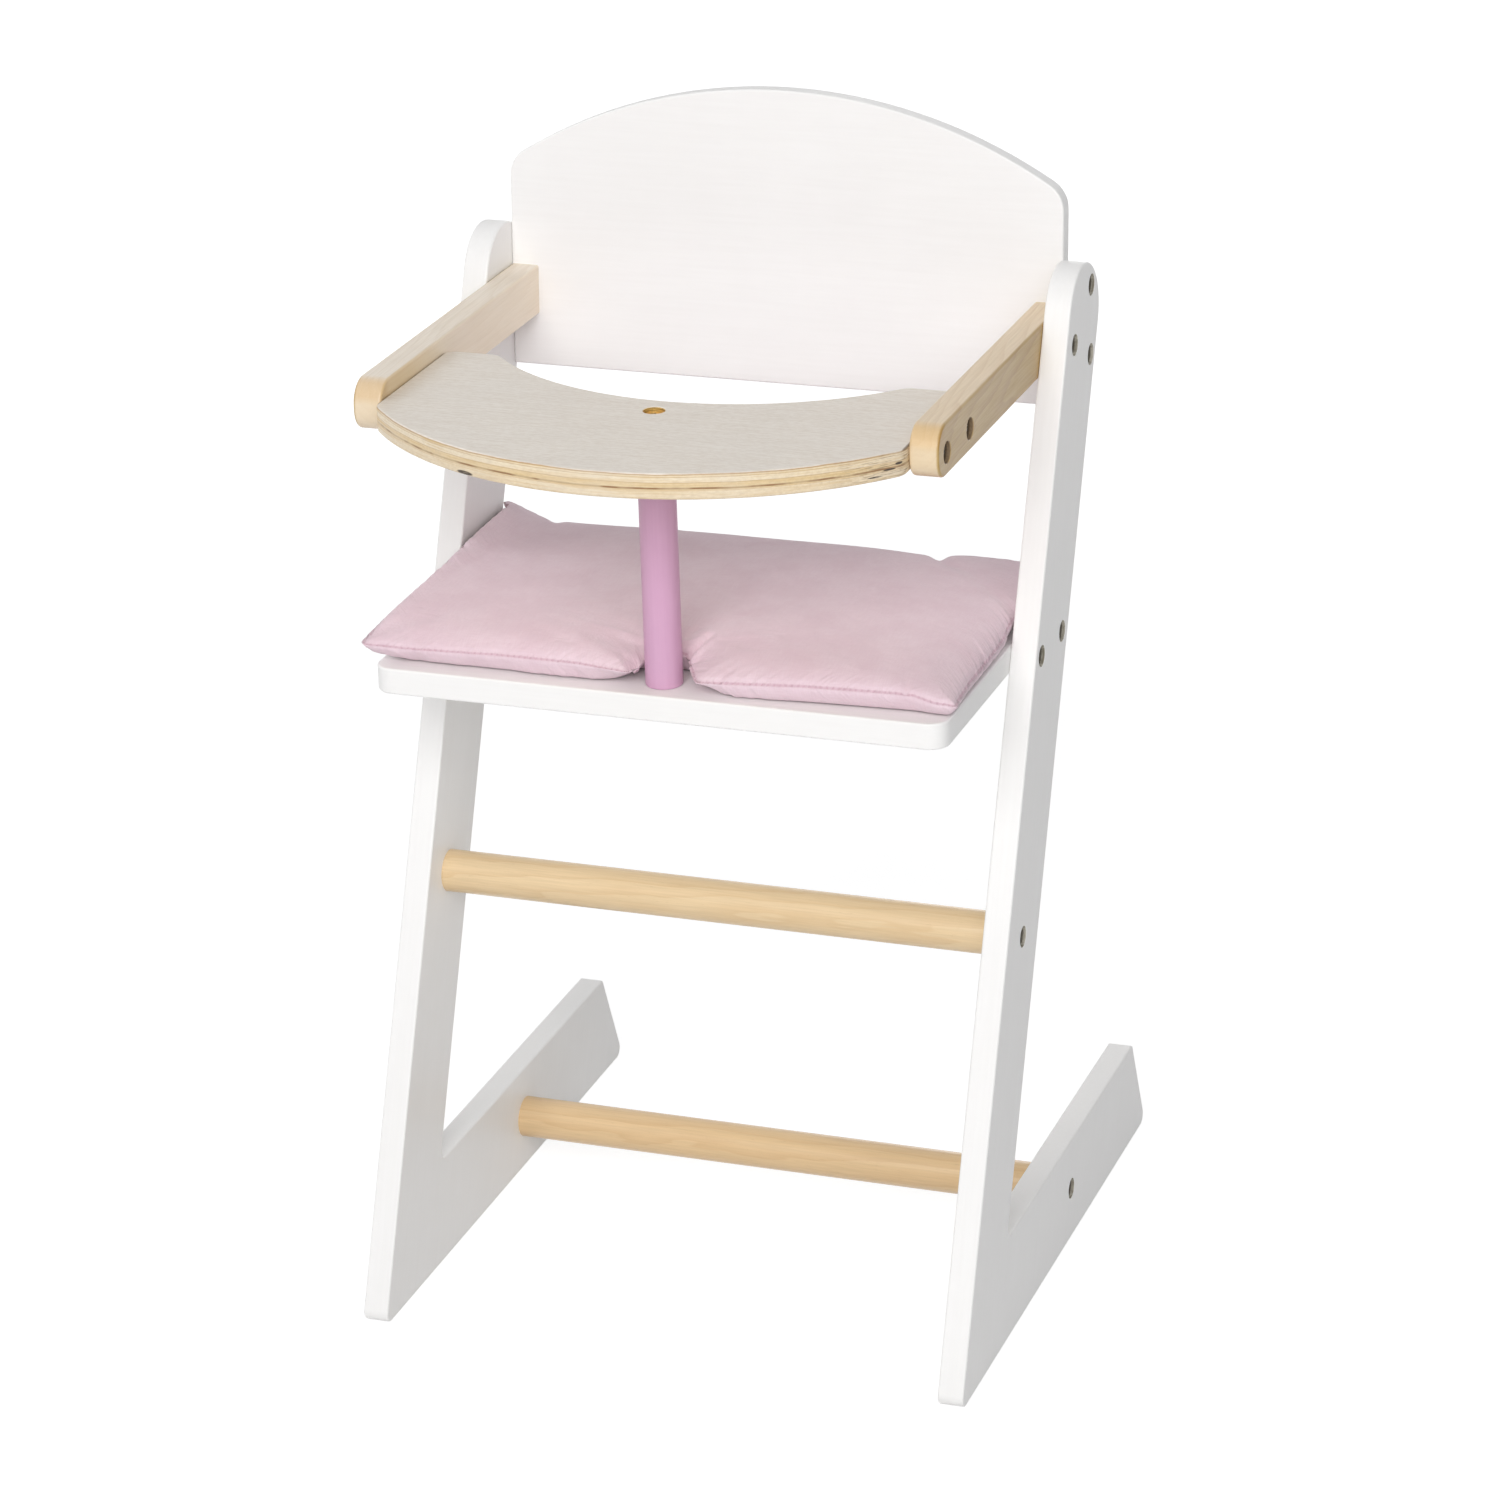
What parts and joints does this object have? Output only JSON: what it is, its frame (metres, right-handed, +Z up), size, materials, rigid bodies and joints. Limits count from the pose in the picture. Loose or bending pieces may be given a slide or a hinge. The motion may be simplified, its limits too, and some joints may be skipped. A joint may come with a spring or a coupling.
{
  "type": "doll high chair",
  "caption": "Wooden doll high chair with leaning side frames, backrest, arms, fixed tray on a post, round rails and a loose cushion.",
  "frame": {"origin": "on the floor, under the middle of the overall box", "axes": "+Z up, +X to the right seen from the front, +Y towards the back; the tray faces -Y"},
  "size_m": [0.287, 0.3374, 0.5322],
  "materials": {
    "white_paint": "satin white paint on wood",
    "lacquered_wood": "clear satin lacquer",
    "plywood": "clear satin lacquer on plywood",
    "mauve_paint": "satin mauve paint on wood",
    "pink_cotton": "plain woven cotton",
    "wadding": "polyester wadding",
    "zinc_steel": "zinc plated",
    "brass": "yellow plated"
  },
  "bodies": {
    "chair": {"right_side_frame": "white_paint", "left_side_frame": "white_paint", "seat_board": "white_paint", "backrest_panel": "white_paint", "right_armrest": "lacquered_wood", "left_armrest": "lacquered_wood", "tray": "plywood", "safety_post": "mauve_paint", "footrest_rail": "lacquered_wood", "stretcher_rail": "lacquered_wood", "seat_screws": "zinc_steel", "backrest_screws": "zinc_steel", "armrest_screws": "zinc_steel", "footrest_screws": "zinc_steel", "stretcher_screws": "zinc_steel", "tray_screws": "zinc_steel", "post_top_screw": "brass", "post_foot_screw": "zinc_steel"},
    "cushion": {"cushion_cover": "pink_cotton", "cushion_filling": "wadding"}
  },
  "joints": [
    {"name": "cushion_draw_out", "type": "slide", "parent": "chair", "child": "cushion", "axis": [0, 1, 0], "range_m": [0, 0.21]}
  ]
}
